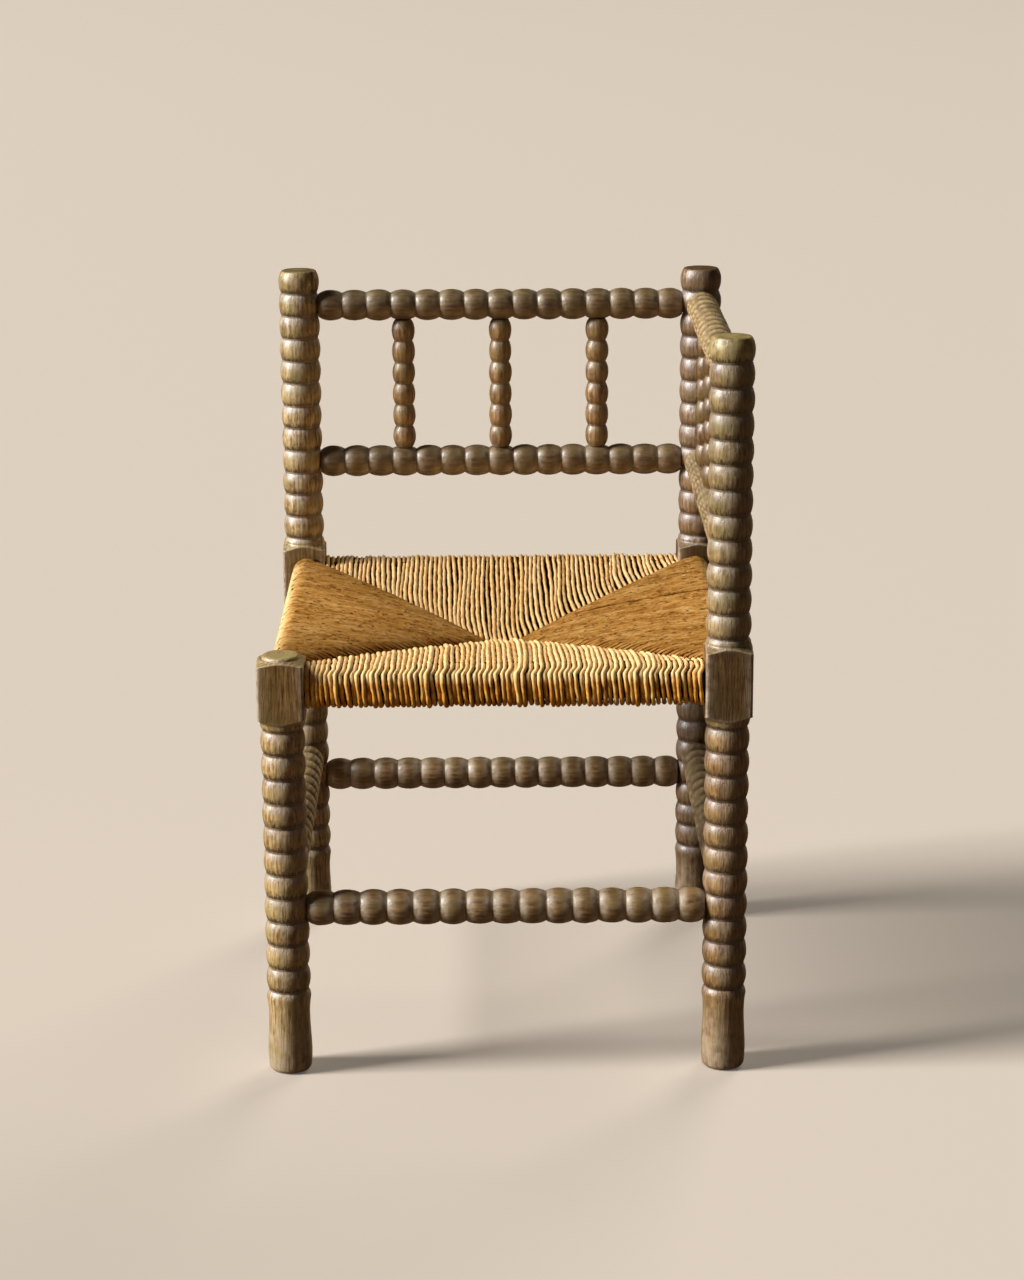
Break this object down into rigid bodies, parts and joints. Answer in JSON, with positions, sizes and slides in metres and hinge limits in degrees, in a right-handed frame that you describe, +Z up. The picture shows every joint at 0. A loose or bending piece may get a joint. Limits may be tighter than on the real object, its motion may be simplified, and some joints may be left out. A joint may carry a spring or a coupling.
{
  "type": "corner chair",
  "caption": "Square corner chair with bobbin-turned posts, rails, spindles and stretchers, a back and one arm side, and a woven rush seat; it stands on plain feet.",
  "frame": {"origin": "on the floor, midway between the four legs", "axes": "+Z up; the open front faces -Y, the back is at +Y and the arm side at +X"},
  "size_m": [0.4864, 0.4864, 0.7509],
  "materials": {
    "post_wood": "worn, waxed grey-brown oak",
    "rail_wood": "worn, waxed brown oak",
    "seat_rail_wood": "bare sawn oak",
    "rush": "twisted dry rush cord",
    "stuffing": "dry rush ends"
  },
  "bodies": {
    "root": {"front_left_leg": "post_wood", "front_right_post": "post_wood", "back_left_post": "post_wood", "back_right_post": "post_wood", "back_top_rail": "rail_wood", "back_lower_rail": "rail_wood", "back_spindle_1": "rail_wood", "back_spindle_2": "rail_wood", "back_spindle_3": "rail_wood", "arm_top_rail": "rail_wood", "arm_lower_rail": "rail_wood", "arm_spindle_1": "rail_wood", "arm_spindle_2": "rail_wood", "arm_spindle_3": "rail_wood", "front_stretcher": "rail_wood", "back_stretcher": "rail_wood", "left_stretcher": "rail_wood", "right_stretcher": "rail_wood", "front_seat_rail": "seat_rail_wood", "back_seat_rail": "seat_rail_wood", "left_seat_rail": "seat_rail_wood", "right_seat_rail": "seat_rail_wood", "front_rush": "rush", "back_rush": "rush", "left_rush": "rush", "right_rush": "rush", "rush_stuffing": "stuffing"}
  },
  "joints": []
}
